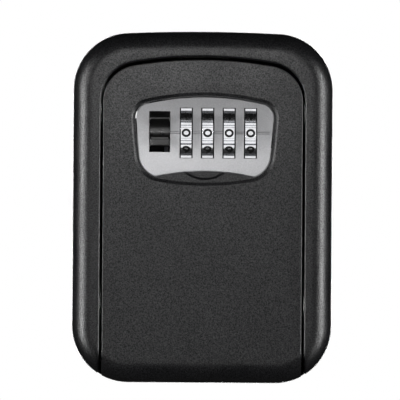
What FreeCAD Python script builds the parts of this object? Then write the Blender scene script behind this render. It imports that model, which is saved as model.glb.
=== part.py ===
import FreeCAD, Part
import math
import os

# Wall-mounted key lock box with a drop-down door and a four-wheel combination lock.
# Row frame, in millimetres: X to the right, Z up, the wall face on y = 0 and the front towards -Y.
# The origin is the centre of the four wall-screw holes on the wall face.
# Names ending in _y, _x or _z are places on that axis, and all others are sizes.

# Body
body_width = 85.0
body_height = 115.0
body_depth = 37.5
body_corner_radius = 18.5
body_top_arch_radius = 537.0
front_rounding = 6.8
back_edge_rounding = 0.8
wall = 2.5
cheek_skin = 2.2  # cast skin between the key space and the cored pockets
pocket_depth = 27.0
pocket_end_margin = 19.5  # solid metal beyond each end of a cheek pocket
top_pocket_margin = 22.5
top_pocket_roof = 3.0

# Door opening and door
side_frame_width = 9.15
top_frame_width = 8.4
opening_edge_rounding = 0.7
door_side_gap = 0.75
door_top_gap = 0.9
door_arch_radius = 135.0
door_corner_radius = 12.0
door_thickness = 3.2
door_edge_rounding = 0.45
door_rib_depth = 2.2
door_rib_thickness = 1.8
door_rib_inset = 0.6
door_rib_top_margin = 14.0

# Door hinge, across the bottom of the door
hinge_setback = 3.5  # axis behind the front
hinge_rise = 9.0  # axis above the bottom
hinge_pin_radius = 1.5
hinge_running_clearance = 0.05
knuckle_wall = 2.0
knuckle_length = 10.0
hinge_pin_bite = 2.2  # length held in each cheek
hinge_pin_end_room = 0.3
hinge_pin_inner_end = 1.0
hinge_pin_chamfer = 0.25
wrap_thickness = 2.6
wrap_clearance = 0.4

# Wall-screw holes
wall_screw_spacing_x = 44.0
wall_screw_spacing_z = 64.0
wall_screw_hole_radius = 2.5
screw_pad_radius = 5.5
screw_pad_height = 0.8

# Number wheels
wheel_count = 4
wheel_pitch = 7.0
wheel_row_x = 5.05
wheel_proud = 2.5  # rim in front of the body's front
wheel_radius = 9.2
wheel_width = 3.5
wheel_bore_radius = 4.6
wheel_relief_radius = 5.35
wheel_digits = 10
wheel_groove_depth = 0.75
wheel_groove_share = 0.4  # of each digit's pitch
wheel_rib_height = 0.4
wheel_slot_width = 4.3
wheel_slot_end_inset = 0.95  # slot's end inside the rim's top and bottom
wheel_slot_bevel = 0.5  # slope at the two ends of each slot
wheel_slot_running_gap = 0.2
notch_radius = 0.55
notch_length = 1.5
notch_clearance = 0.1

# Code sleeves inside the wheels, with their gate discs between the wheels
sleeve_clearance = 0.08
sleeve_spacer_radius = 2.6
sleeve_end_gap = 0.05
last_spacer_overhang = 0.55  # past the last wheel's right face
gate_disc_radius = 5.6
gate_disc_thickness = 1.0
gate_disc_offset = 2.9  # wheel's left face to the disc's left face
gate_width = 2.6
gate_depth = 0.9
disc_running_gap = 0.3
tooth_length = 1.2
reset_travel = 1.8
shaft_radius = 1.5
shaft_clearance = 0.06
shaft_end_gap = 0.1
shaft_chamfer = 0.3

# Dial panel, a casting that comes through the door from behind
panel_stand = 0.2  # crown in front of the body's front
panel_crown_radius = 70.0
panel_gap = 0.35
panel_flange_thickness = 1.2
panel_left_margin = 4.15  # beyond the button slot
panel_right_margin = 5.3  # beyond the last wheel slot
panel_top_rise = 11.6  # outline heights above or below the wheels' axis
panel_bottom_drop = 12.2
panel_arch_end = (2.6, 9.2)  # inside the panel's side, above the wheels' axis
panel_shoulder = (0.65, 7.4)
panel_side_top = (0.0, 4.4)
panel_side_bottom = (1.1, -8.2)
panel_chin = (2.8, -11.7)
panel_tip = (6.3, -14.05)
ledge_width = 0.3
recess_wall_width = 1.05
ledge_depth = 0.9
recess_bottom_drop = 15.55
grip_half_width = 7.5
grip_drop = 15.35
grip_depth = 1.3
grip_wall_slope = 0.75  # how much narrower the scoop is at its floor
index_ridge_rise = 0.1
index_ridge_height = 0.4
index_ridge_half_base = 0.62
index_ridge_half_crest = 0.2

# Open button and latch
button_offset = 8.65  # slot's middle to the first wheel's middle
button_slot_rise = 0.4
button_slot_width = 6.9
button_slot_height = 13.4
button_clearance = 0.22
button_height = 9.4
button_stand = 1.4
button_edge_rounding = 0.35
button_scoop_radius = 5.2
button_scoop_depth = 1.1
button_scoop_drop = 4.0
button_rib_count = 4
button_rib_pitch = 1.25
button_rib_margin = 1.3
button_rib_depth = 0.45
button_rib_half_width = 0.3
button_rib_inset = 0.5
travel_down = 1.6
travel_up = 2.0
latch_thickness = 2.0
latch_flange_gap = 0.8
latch_leg_width = 5.8
latch_leg_gap = 0.6
latch_leg_drop = 7.2  # leg's foot below the wheels' axis
latch_bar_gap = 0.6  # over the wheels with the button right down
latch_bar_height = 4.6
latch_bar_right_reach = 2.85
latch_nose_width = 14.0
latch_nose_gap = 0.4  # under the opening's top with the button at rest
latch_nose_chamfer = 0.7
latch_pad_step = 0.9  # from the latch's front face to the back of the button pad
pad_foot = 0.2
fence_finger_clearance = 0.25
fence_tip_gap = 0.3  # over the gate discs with the button right down
keeper_depth = 2.3
keeper_clearance = 0.9
guide_clearance = 0.12

# Lock housing, inner cover and screws
housing_wall = 1.5
housing_side_gap = 1.0
housing_top_gap = 0.3
housing_top_margin = 5.1  # below the door opening's top
housing_cover_gap = 0.9
detent_room = 5.0
bearing_thickness = 1.2
bearing_gap = 0.2
bearing_cap = 3.0
rail_depth = 3.0
rail_reach = 3.4
right_rail_reach = 4.9
rail_drop = 4.0
rail_rise = 2.0
ear_reach = 3.0
ear_radius = 2.8
ear_arm_half_height = 1.6
ear_low_margin = 4.1
ear_high_margin = 5.6
boss_height = 4.2
cover_thickness = 1.4
cover_edge_rounding = 0.5
screw_radius = 1.45
screw_hole_radius = 1.5
screw_head_radius = 2.6
screw_head_height = 1.5
screw_head_rounding = 0.5
screw_bite = 4.6
screw_end_room = 0.6
cross_width = 0.8
cross_length = 3.0
cross_depth = 0.9

# Reset lever
reset_plate_gap = 0.6
reset_plate_thickness = 1.1
reset_plate_height = 8.2
reset_plate_right_reach = 2.95
reset_arm_gap = 0.1
reset_arm_thickness = 1.0
reset_arm_front_gap = 0.4
reset_fork_gap = 0.35
reset_knob_offset = 7.05
reset_knob_width = 4.0
reset_knob_height = 4.4
reset_knob_stand = 2.0
reset_knob_rounding = 0.4
reset_slot_clearance = 0.3
reset_rib_count = 3
reset_rib_pitch = 1.1
reset_rib_half_width = 0.22
reset_rib_half_height = 1.6
reset_rib_depth = 0.5

# Springs
bolt_spring_shift = 0.7
bolt_spring_radius = 1.45
bolt_spring_wire = 0.25
bolt_spring_turns = 6
bolt_peg_radius = 0.9
bolt_peg_height = 2.6
sleeve_spring_length = 5.15
sleeve_spring_radius = 2.1
sleeve_spring_wire = 0.25
sleeve_spring_turns = 4
wire_sides = 8
leaf_thickness = 0.35
leaf_width = 2.4
leaf_gap = 0.15
leaf_half_length = 6.0
leaf_foot = 1.6
leaf_crown_half_length = 1.2
leaf_tip_drop = 0.6

# Places that follow from the sizes above
half_width = body_width / 2
half_height = body_height / 2
front_y = -body_depth
half_opening = half_width - side_frame_width
opening_top_z = half_height - top_frame_width
half_door = half_opening - door_side_gap
door_top_z = opening_top_z - door_top_gap
door_rear_y = front_y + door_thickness
flange_rear_y = door_rear_y + panel_flange_thickness
hinge_y = front_y + hinge_setback
hinge_z = -half_height + hinge_rise
wrap_reach = math.hypot(hinge_rise, front_rounding - hinge_setback)

housing_top_z = opening_top_z - housing_top_margin
latch_bar_top_z = housing_top_z - housing_wall - housing_top_gap - travel_up
latch_bar_z = latch_bar_top_z - latch_bar_height
wheel_z = latch_bar_z - latch_bar_gap - travel_down - wheel_radius
wheel_x = [wheel_row_x + (i - (wheel_count - 1) / 2) * wheel_pitch for i in range(wheel_count)]
wheel_y = front_y - wheel_proud + wheel_radius
wheel_slot_height = 2 * (wheel_radius - wheel_slot_end_inset)
first_disc_x = wheel_x[0] - wheel_width / 2 - gate_disc_offset
last_spacer_x = wheel_x[-1] + wheel_width / 2 + last_spacer_overhang
reset_arm_right_x = first_disc_x - reset_arm_gap
reset_arm_left_x = reset_arm_right_x - reset_arm_thickness
bearing_right_x = reset_arm_left_x - bearing_gap
bearing_left_x = bearing_right_x - bearing_thickness

button_slot_x = wheel_x[0] - button_offset
button_slot_z = wheel_z + button_slot_rise
button_front_y = front_y - button_stand
latch_y = flange_rear_y + latch_flange_gap
latch_rear_y = latch_y + latch_thickness
latch_leg_right_x = bearing_left_x - latch_leg_gap
latch_leg_left_x = latch_leg_right_x - latch_leg_width
latch_leg_bottom_z = wheel_z - latch_leg_drop
latch_bar_right_x = wheel_x[-1] + latch_bar_right_reach
pad_low_z = button_slot_z - button_height / 2 - pad_foot
pad_high_z = button_slot_z + button_slot_height / 2 + travel_down
pad_front_y = door_rear_y + guide_clearance
pad_rear_y = latch_y - latch_pad_step

housing_left_x = latch_leg_left_x - housing_side_gap - housing_wall
housing_right_x = last_spacer_x + sleeve_spring_length + housing_wall
housing_bottom_z = wheel_z - wheel_radius - detent_room - housing_wall
housing_floor_z = housing_bottom_z + housing_wall
reset_plate_y = wheel_y + wheel_radius + reset_plate_gap
reset_plate_rear_y = reset_plate_y + reset_plate_thickness
housing_rear_y = reset_plate_rear_y + housing_cover_gap
cover_rear_y = housing_rear_y + cover_thickness
boss_rear_y = door_rear_y + boss_height
ears = [
    (x, z)
    for x in (housing_left_x - ear_reach, housing_right_x + ear_reach)
    for z in (housing_bottom_z + ear_low_margin, housing_top_z - ear_high_margin)
]
reset_knob_x = wheel_row_x - reset_knob_offset
reset_knob_y = cover_rear_y + reset_knob_stand

panel_left_x = button_slot_x - button_slot_width / 2 - panel_left_margin
panel_right_x = wheel_x[-1] + wheel_slot_width / 2 + panel_right_margin
panel_x = (panel_left_x + panel_right_x) / 2
panel_half_width = (panel_right_x - panel_left_x) / 2
panel_crown_y = front_y - panel_stand
panel_bottom_z = wheel_z - panel_bottom_drop
grip_bottom_z = wheel_z - grip_drop

os.makedirs("parts", exist_ok=True)


def at(x, y, z):
    return FreeCAD.Vector(x, y, z)


def box(x0, x1, y0, y1, z0, z1):
    """Block between the two values on each axis."""
    return Part.makeBox(x1 - x0, y1 - y0, z1 - z0, at(x0, y0, z0))


def rod_x(x0, x1, y, z, radius):
    return Part.makeCylinder(radius, x1 - x0, at(x0, y, z), at(1, 0, 0))


def rod_y(x, z, y0, y1, radius):
    return Part.makeCylinder(radius, y1 - y0, at(x, y0, z), at(0, 1, 0))


def rod_z(x, y, z0, z1, radius):
    return Part.makeCylinder(radius, z1 - z0, at(x, y, z0), at(0, 0, 1))


def line(a, b):
    return Part.LineSegment(a, b).toShape()


def arc(a, middle, b):
    return Part.Arc(a, middle, b).toShape()


def slab_y(wire, y0, y1):
    """Solid of a flat outline drawn at y = 0, between two depths."""
    face = Part.Face(wire)
    face.translate(at(0, y0, 0))
    return face.extrude(at(0, y1 - y0, 0))


def slab_x(points, x0, x1):
    """Solid of a polygon of (y, z) corners, between two places across."""
    corners = [at(x0, y, z) for y, z in points]
    return Part.Face(Part.makePolygon(corners + corners[:1])).extrude(at(x1 - x0, 0, 0))


def joined(shapes):
    whole = shapes[0]
    if len(shapes) > 1:
        whole = whole.fuse(shapes[1:])
    return whole.removeSplitter()


def bend(centre, radius, start_deg, end_deg):
    """Arc of a circle about (x, z), between two directions given from +X towards +Z."""
    x, z = centre
    turns = [math.radians(start_deg + (end_deg - start_deg) * share) for share in (0, 0.5, 1)]
    points = [at(x + radius * math.cos(t), 0, z + radius * math.sin(t)) for t in turns]
    return arc(*points)


def arched_outline(half_width, bottom_z, top_z, arch_radius, top_corner, bottom_corner):
    """Upright outline with an arched top and rounded corners. A bottom_corner of 0 leaves it square."""
    arch_z = top_z - arch_radius
    corner_x = half_width - top_corner
    corner_z = arch_z + math.sqrt((arch_radius - top_corner) ** 2 - corner_x**2)
    lean = math.degrees(math.atan2(corner_z - arch_z, corner_x))
    right_top = at(half_width, 0, corner_z)
    left_top = at(-half_width, 0, corner_z)
    edges = [
        bend((corner_x, corner_z), top_corner, 0, lean),
        bend((0, arch_z), arch_radius, lean, 180 - lean),
        bend((-corner_x, corner_z), top_corner, 180 - lean, 180),
    ]
    low_z = bottom_z + bottom_corner
    low_x = half_width - bottom_corner
    edges.append(line(left_top, at(-half_width, 0, low_z)))
    if bottom_corner:
        edges.append(bend((-low_x, low_z), bottom_corner, 180, 270))
    edges.append(line(at(-low_x, 0, bottom_z), at(low_x, 0, bottom_z)))
    if bottom_corner:
        edges.append(bend((low_x, low_z), bottom_corner, 270, 360))
    edges.append(line(at(half_width, 0, low_z), right_top))
    return Part.Wire(Part.__sortEdges__(edges))


def edges_on_plane(shape, y, tolerance=1e-4):
    """Edges of a solid that lie in the upright plane at depth y."""
    found = []
    for edge in shape.Edges:
        bounds = edge.BoundBox
        if abs(bounds.YMin - y) < tolerance and abs(bounds.YMax - y) < tolerance:
            found.append(edge)
    return found


def crossed(shape, head_x, head_z, head_y):
    """A screw head with its cross cut in from the rear."""
    floor_y = head_y - cross_depth
    half_long = cross_length / 2
    half_thin = cross_width / 2
    across = box(
        head_x - half_long, head_x + half_long, floor_y, head_y, head_z - half_thin, head_z + half_thin
    )
    upright = box(
        head_x - half_thin, head_x + half_thin, floor_y, head_y, head_z - half_long, head_z + half_long
    )
    return shape.cut([across, upright])


def coil(length, radius, wire_radius, turns):
    """Compression spring standing on z = 0 and coiled about Z, of many-sided wire."""
    height = length - 2 * wire_radius
    path = Part.Wire(Part.makeHelix(height / turns, height, radius))
    turns_round = [2 * math.pi * k / wire_sides for k in range(wire_sides + 1)]
    section = Part.makePolygon(
        [at(radius + wire_radius * math.cos(t), 0, wire_radius * math.sin(t)) for t in turns_round]
    )
    spring = path.makePipeShell([section], True, True)
    spring.translate(at(0, 0, wire_radius))
    return spring


def body_blank():
    """Full outer form of the closed box, rounded all round its front."""
    corner = body_corner_radius
    outline = arched_outline(half_width, -half_height, half_height, body_top_arch_radius, corner, corner)
    blank = slab_y(outline, front_y, 0)
    blank = blank.makeFillet(front_rounding, edges_on_plane(blank, front_y))
    return blank.makeFillet(back_edge_rounding, edges_on_plane(blank, 0))


def skin_core(thickness):
    """Outer form drawn in by a skin thickness, which leaves an even wall when cut from the blank."""
    outline = arched_outline(
        half_width - thickness,
        -half_height + thickness,
        half_height - thickness,
        body_top_arch_radius - thickness,
        body_corner_radius - thickness,
        body_corner_radius - thickness,
    )
    core = slab_y(outline, front_y + thickness, 0)
    return core.makeFillet(front_rounding - thickness, edges_on_plane(core, front_y + thickness))


def opening_outline(shrink_side, shrink_top):
    """Door opening, drawn in by a gap at the sides and top and running out through the bottom."""
    corner = door_corner_radius + door_side_gap - shrink_side
    arch = door_arch_radius + door_top_gap - shrink_top
    half = half_opening - shrink_side
    return arched_outline(half, -body_height, opening_top_z - shrink_top, arch, corner, 0)


def make_shell(blank):
    inner_outline = arched_outline(
        half_width - wall,
        -half_height + wall,
        half_height - wall,
        body_top_arch_radius - wall,
        body_corner_radius - wall,
        body_corner_radius - wall,
    )
    opening = slab_y(opening_outline(0, 0), front_y - 1, -wall)
    key_space = slab_y(inner_outline, front_y - 1, -wall).common(opening)
    opening_face = slab_y(opening_outline(0, 0), front_y - 1, hinge_y + wrap_reach)
    below_hinge = rod_x(-half_opening, half_opening, hinge_y, hinge_z, wrap_reach + wrap_clearance)
    in_front = box(-half_opening, half_opening, front_y - 1, hinge_y, -half_height - 1, hinge_z)
    wrap_way = joined([below_hinge, in_front]).common(opening_face)
    shell = blank.cut([key_space, wrap_way])

    cheek_outer_x = half_width - wall
    cheek_inner_x = half_opening + cheek_skin
    pocket_half = half_height - pocket_end_margin
    pocket = box(cheek_inner_x, cheek_outer_x, -pocket_depth, 0, -pocket_half, pocket_half)
    other_pocket = pocket.mirror(at(0, 0, 0), at(1, 0, 0))
    top_low = opening_top_z + cheek_skin
    top_half = half_width - top_pocket_margin
    top_pocket = box(-top_half, top_half, -pocket_depth, 0, top_low, half_height - top_pocket_roof)
    corners = slab_y(inner_outline, -pocket_depth, 0)
    shell = shell.cut([pocket.common(corners), other_pocket.common(corners), top_pocket.common(corners)])

    keeper_half = latch_nose_width / 2 + keeper_clearance
    keeper = box(
        -keeper_half,
        keeper_half,
        latch_y - keeper_clearance,
        latch_rear_y + keeper_clearance,
        opening_top_z - 2,
        opening_top_z + keeper_depth,
    )
    pin_end = half_opening + hinge_pin_bite + hinge_pin_end_room
    bore = rod_x(-pin_end, pin_end, hinge_y, hinge_z, hinge_pin_radius + hinge_running_clearance)
    pads = []
    holes = []
    for side in (-1, 1):
        for level in (-1, 1):
            x = side * wall_screw_spacing_x / 2
            z = level * wall_screw_spacing_z / 2
            pads.append(rod_y(x, z, -wall - screw_pad_height, -wall / 2, screw_pad_radius))
            holes.append(rod_y(x, z, -wall - screw_pad_height - 1, 1, wall_screw_hole_radius))
    shell = shell.cut([keeper, bore]).fuse(pads).cut(holes).removeSplitter()
    rim = [
        edge
        for edge in edges_on_plane(shell, front_y)
        if abs(edge.BoundBox.XMax) < half_opening + 0.1
        and abs(edge.BoundBox.XMin) < half_opening + 0.1
        and edge.BoundBox.ZMin > -half_height + front_rounding - 1
    ]
    return shell.makeFillet(opening_edge_rounding, rim)


def panel_outline(bottom_middle_z):
    """Outline of the dial panel. Its bottom edge is an arc through the given middle height."""

    def pair(point):
        half = panel_half_width - point[0]
        z = wheel_z + point[1]
        return at(panel_x + half, 0, z), at(panel_x - half, 0, z)

    end_right, end_left = pair(panel_arch_end)
    shoulder_right, shoulder_left = pair(panel_shoulder)
    high_right, high_left = pair(panel_side_top)
    low_right, low_left = pair(panel_side_bottom)
    chin_right, chin_left = pair(panel_chin)
    tip_right, tip_left = pair(panel_tip)
    edges = [
        arc(end_left, at(panel_x, 0, wheel_z + panel_top_rise), end_right),
        arc(end_right, shoulder_right, high_right),
        line(high_right, low_right),
        arc(low_right, chin_right, tip_right),
        arc(tip_right, at(panel_x, 0, bottom_middle_z), tip_left),
        arc(tip_left, chin_left, low_left),
        line(low_left, high_left),
        arc(high_left, shoulder_left, end_left),
    ]
    return Part.Wire(Part.__sortEdges__(edges))


def grown(wire, distance):
    """The outline moved outwards by a distance, or inwards by a negative one."""
    return Part.Face(wire).makeOffset2D(distance).OuterWire


def button_slot(y0, y1):
    half_w = button_slot_width / 2
    half_h = button_slot_height / 2
    return box(
        button_slot_x - half_w,
        button_slot_x + half_w,
        y0,
        y1,
        button_slot_z - half_h,
        button_slot_z + half_h,
    )


def pad_way(y0, y1):
    """Room behind the panel's face for the latch's button pad over its whole travel."""
    half_w = button_slot_width / 2
    low = pad_low_z - travel_down - guide_clearance
    return box(
        button_slot_x - half_w, button_slot_x + half_w, y0, y1, low, pad_high_z + travel_up + guide_clearance
    )


def make_panel():
    """Satin casting with a crowned face, four wheel slots, a button slot and a clamping flange."""
    plug = slab_y(panel_outline(panel_bottom_z), panel_crown_y - 1, door_rear_y)
    crown_axis_y = panel_crown_y + panel_crown_radius
    plug = plug.common(rod_x(-half_width, half_width, crown_axis_y, wheel_z, panel_crown_radius))
    flange_top_z = housing_top_z - 2
    flange = box(
        housing_left_x, housing_right_x, door_rear_y, flange_rear_y, housing_bottom_z, flange_top_z
    )
    panel = plug.fuse(flange)

    half_w = wheel_slot_width / 2
    half_h = wheel_slot_height / 2
    slot_front_y = panel_crown_y - 2
    slots = [button_slot(slot_front_y, flange_rear_y)]
    for x in wheel_x:
        left = x - half_w
        right = x + half_w
        slots.append(box(left, right, slot_front_y, flange_rear_y, wheel_z - half_h, wheel_z + half_h))
    disc_left = first_disc_x - disc_running_gap
    disc_right = housing_right_x - housing_wall
    disc_way = gate_disc_radius + disc_running_gap
    hollows = [
        pad_way(door_rear_y, flange_rear_y),
        rod_x(disc_left, disc_right, wheel_y, wheel_z, disc_way),
    ]
    rim_y = panel_crown_y + wheel_slot_bevel
    ends = half_h + 2 * wheel_slot_bevel
    slope = [
        (rim_y, wheel_z - half_h),
        (rim_y - 2 * wheel_slot_bevel, wheel_z - ends),
        (rim_y - 2 * wheel_slot_bevel, wheel_z + ends),
        (rim_y, wheel_z + half_h),
    ]
    rim_way = wheel_radius + wheel_slot_running_gap
    for x in wheel_x:
        hollows.append(rod_x(x - half_w, x + half_w, wheel_y, wheel_z, rim_way))
        hollows.append(slab_x(slope, x - half_w, x + half_w))
    for tool in slots + hollows:
        panel = panel.cut(tool)

    ridge_z = wheel_z + index_ridge_rise
    ridge_front_y = panel_crown_y - index_ridge_height
    ridge_rear_y = panel_crown_y + index_ridge_height
    ridge_profile = [
        (ridge_rear_y, ridge_z - index_ridge_half_base),
        (ridge_front_y, ridge_z - index_ridge_half_crest),
        (ridge_front_y, ridge_z + index_ridge_half_crest),
        (ridge_rear_y, ridge_z + index_ridge_half_base),
    ]
    ridge_left = button_slot_x + button_slot_width / 2
    ridge_right = panel_right_x - panel_side_bottom[0]
    ridge = slab_x(ridge_profile, ridge_left, ridge_right)
    for slot in slots:
        ridge = ridge.cut(slot)
    return panel.fuse(ridge.Solids).removeSplitter()


def make_door(blank):
    outline = opening_outline(door_side_gap, door_top_gap)
    plate = blank.common(slab_y(outline, front_y - 1, door_rear_y))
    below_hinge = box(-half_door, half_door, front_y, 0, -half_height, hinge_z)
    swing = rod_x(-half_door, half_door, hinge_y, hinge_z, wrap_reach)
    in_front = box(-half_door, half_door, front_y, front_y + front_rounding, -half_height, hinge_z)
    wrap_zone = joined([swing.common(below_hinge), in_front])
    wrap = blank.common(wrap_zone).cut(skin_core(wrap_thickness))
    low_z = hinge_z - 1.0
    plate = plate.cut(box(-half_width, half_width, door_rear_y - 5, door_rear_y + 1, -half_height - 1, low_z))
    plate = plate.common(box(-half_width, half_width, front_y, door_rear_y, low_z, half_height))
    front = [edge for edge in edges_on_plane(plate, front_y) if edge.BoundBox.ZMax > low_z + 1]
    plate = plate.makeFillet(door_edge_rounding, front)
    knuckle_radius = hinge_pin_radius + knuckle_wall
    knuckles = [
        rod_x(-half_door, -half_door + knuckle_length, hinge_y, hinge_z, knuckle_radius),
        rod_x(half_door - knuckle_length, half_door, hinge_y, hinge_z, knuckle_radius),
    ]
    rib_right = half_door - door_rib_inset
    rib_left = rib_right - door_rib_thickness
    rib_top_z = door_top_z - door_rib_top_margin
    rib = box(rib_left, rib_right, door_rear_y - 1, door_rear_y + door_rib_depth, hinge_z, rib_top_z)
    ribs = [rib, rib.mirror(at(0, 0, 0), at(1, 0, 0))]
    bosses = [rod_y(x, z, door_rear_y - 1, boss_rear_y, ear_radius) for x, z in ears]
    door = joined([plate, wrap] + knuckles + ribs + bosses)

    seat = grown(panel_outline(panel_bottom_z), panel_gap)
    recess_outline = panel_outline(wheel_z - recess_bottom_drop)
    recess = grown(recess_outline, panel_gap + ledge_width)
    recess_rim = grown(recess_outline, panel_gap + ledge_width + recess_wall_width)
    ledge_y = front_y + ledge_depth
    pocket = slab_y(recess, front_y - 1, ledge_y)
    rim_top = recess_rim.copy()
    rim_top.translate(at(0, front_y - 0.01, 0))
    rim_low = recess.copy()
    rim_low.translate(at(0, ledge_y, 0))
    bevel = Part.makeLoft([rim_top, rim_low], True, True)
    window = slab_y(seat, front_y - 1, door_rear_y + 1)
    scoop_chord = panel_bottom_z - grip_bottom_z
    scoop_radius = (grip_half_width**2 + scoop_chord**2) / (2 * scoop_chord)
    scoop = Part.makeCone(
        scoop_radius + grip_wall_slope / grip_depth,
        scoop_radius - grip_wall_slope,
        grip_depth + 1,
        at(panel_x, ledge_y - 1, grip_bottom_z + scoop_radius),
        at(0, 1, 0),
    ).common(box(-half_door, half_door, front_y - 1, 0, 0, panel_bottom_z))
    hole_floor_y = boss_rear_y - screw_bite - screw_end_room
    holes = [rod_y(x, z, hole_floor_y, boss_rear_y + 1, screw_hole_radius) for x, z in ears]
    end = half_door + 1
    holes.append(rod_x(-end, end, hinge_y, hinge_z, hinge_pin_radius))
    return door.cut([pocket, bevel, window, scoop] + holes).removeSplitter()


def make_hinge_pins():
    pins = []
    inner = half_door - knuckle_length - hinge_pin_inner_end
    outer = half_opening + hinge_pin_bite
    for x0, x1 in ((-outer, -inner), (inner, outer)):
        pin = rod_x(x0, x1, hinge_y, hinge_z, hinge_pin_radius)
        pins.append(pin.makeChamfer(hinge_pin_chamfer, [edge for edge in pin.Edges if edge.isClosed()]))
    return Part.makeCompound(pins)


def make_wheel(x):
    """Wheel with ten digit pads, a ribbed groove after each pad and an index ring of notches in its bore."""
    pitch = 2 * math.pi / wheel_digits
    groove = pitch * wheel_groove_share
    pad = pitch - groove
    low = wheel_radius - wheel_groove_depth
    points = []
    for k in range(wheel_digits):
        middle = math.pi + k * pitch
        for step in range(5):
            points.append((wheel_radius, middle - pad / 2 + pad * step / 4))
        points.append((low, middle + pad / 2 + groove * 0.16))
        points.append((low, middle + pad / 2 + groove * 0.36))
        points.append((low + wheel_rib_height, middle + pad / 2 + groove * 0.44))
        points.append((low + wheel_rib_height, middle + pad / 2 + groove * 0.56))
        points.append((low, middle + pad / 2 + groove * 0.64))
        points.append((low, middle + pad / 2 + groove * 0.84))
    corners = [(wheel_y + r * math.cos(t), wheel_z + r * math.sin(t)) for r, t in points]
    left = x - wheel_width / 2
    wheel = slab_x(corners, left, left + wheel_width)
    cuts = [
        rod_x(left - 1, left + wheel_width + 1, wheel_y, wheel_z, wheel_bore_radius),
        rod_x(left + notch_length, left + wheel_width + 1, wheel_y, wheel_z, wheel_relief_radius),
    ]
    for k in range(wheel_digits):
        turn = k * pitch
        y = wheel_y + wheel_bore_radius * math.cos(turn)
        z = wheel_z + wheel_bore_radius * math.sin(turn)
        cuts.append(rod_x(left - 1, left + notch_length + 1, y, z, notch_radius))
    return wheel.cut(cuts)


def make_sleeve(x):
    """Code sleeve: gate disc to the left of its wheel, a drum with two teeth and a spacer."""
    left = x - wheel_width / 2
    disc_left = left - gate_disc_offset
    disc_right = disc_left + gate_disc_thickness
    drum_right = left + notch_length + reset_travel
    drum_radius = wheel_bore_radius - sleeve_clearance
    spacer_right = last_spacer_x if x == wheel_x[-1] else disc_left + wheel_pitch - sleeve_end_gap
    pieces = [
        rod_x(disc_left, disc_right, wheel_y, wheel_z, gate_disc_radius),
        rod_x(disc_right, drum_right, wheel_y, wheel_z, drum_radius),
        rod_x(drum_right, spacer_right, wheel_y, wheel_z, sleeve_spacer_radius),
    ]
    tooth_left = left + (notch_length - tooth_length) / 2
    for side in (-1, 1):
        pieces.append(
            rod_x(
                tooth_left,
                tooth_left + tooth_length,
                wheel_y + side * wheel_bore_radius,
                wheel_z,
                notch_radius - notch_clearance,
            )
        )
    bore = rod_x(disc_left - 1, spacer_right + 1, wheel_y, wheel_z, shaft_radius + shaft_clearance)
    gate = box(
        disc_left - 1,
        disc_right,
        wheel_y - gate_width / 2,
        wheel_y + gate_width / 2,
        wheel_z + gate_disc_radius - gate_depth,
        wheel_z + gate_disc_radius + 1,
    )
    return joined(pieces).cut([bore, gate])


def make_shaft():
    left = bearing_left_x + shaft_end_gap
    right = housing_right_x - shaft_end_gap
    shaft = rod_x(left, right, wheel_y, wheel_z, shaft_radius)
    return shaft.makeChamfer(shaft_chamfer, [edge for edge in shaft.Edges if edge.isClosed()])


def make_latch():
    """Flat latch: button leg, cross bar, nose towards the keeper and one fence finger over each sleeve."""
    bar_top = latch_bar_top_z
    nose_top = opening_top_z - latch_nose_gap
    half_nose = latch_nose_width / 2
    pieces = [
        box(latch_leg_left_x, latch_leg_right_x, latch_y, latch_rear_y, latch_leg_bottom_z, bar_top),
        box(latch_leg_left_x, latch_bar_right_x, latch_y, latch_rear_y, latch_bar_z, bar_top),
    ]
    nose = box(-half_nose, half_nose, latch_y, latch_rear_y, latch_bar_z, nose_top)
    lead = [edge for edge in nose.Edges if abs(edge.BoundBox.ZMin - nose_top) < 1e-6 and edge.Length > 10]
    pieces.append(nose.makeChamfer(latch_nose_chamfer, lead))
    tip_z = wheel_z + gate_disc_radius + travel_down + fence_tip_gap
    for x in wheel_x:
        left = x - wheel_width / 2 - (wheel_pitch - wheel_width) + fence_finger_clearance
        right = x - wheel_width / 2 - fence_finger_clearance
        pieces.append(box(left, right, latch_y, latch_rear_y, tip_z, latch_bar_z + 1))
    pad_left = button_slot_x - button_slot_width / 2 + button_clearance
    pad_right = button_slot_x + button_slot_width / 2 - button_clearance
    pieces.append(box(pad_left, pad_right, pad_front_y, pad_rear_y, pad_low_z, pad_high_z))
    stem_left = max(pad_left, latch_leg_left_x)
    pieces.append(box(stem_left, latch_leg_right_x, pad_rear_y, latch_y, pad_low_z, pad_high_z))
    return joined(pieces)


def make_button():
    """Black thumb button with a hollow near its top and ribs across its lower half."""
    half_w = button_slot_width / 2 - button_clearance
    half_h = button_height / 2
    body = box(
        button_slot_x - half_w,
        button_slot_x + half_w,
        button_front_y,
        pad_front_y,
        button_slot_z - half_h,
        button_slot_z + half_h,
    )
    body = body.makeFillet(button_edge_rounding, edges_on_plane(body, button_front_y))
    scoop_z = button_slot_z + half_h - button_scoop_drop
    scoop = rod_x(
        button_slot_x - half_w - 1,
        button_slot_x + half_w + 1,
        button_front_y - button_scoop_radius + button_scoop_depth,
        scoop_z,
        button_scoop_radius,
    )
    lands = []
    for k in range(button_rib_count):
        z = button_slot_z - half_h + button_rib_margin + k * button_rib_pitch
        lands.append(
            box(
                button_slot_x - half_w + button_rib_inset,
                button_slot_x + half_w - button_rib_inset,
                button_front_y - 1,
                button_front_y + button_rib_depth,
                z - button_rib_half_width,
                z + button_rib_half_width,
            )
        )
    return body.cut([scoop] + lands)


def ear_pieces(front_y, rear_y):
    """Round screw ears at the four corners, each with an arm into the side wall."""
    pieces = []
    for x, z in ears:
        inner = housing_left_x + housing_wall / 2 if x < wheel_row_x else housing_right_x - housing_wall / 2
        low = z - ear_arm_half_height
        high = z + ear_arm_half_height
        pieces.append(rod_y(x, z, front_y, rear_y, ear_radius))
        pieces.append(box(min(x, inner), max(x, inner), front_y, rear_y, low, high))
    return pieces


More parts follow.
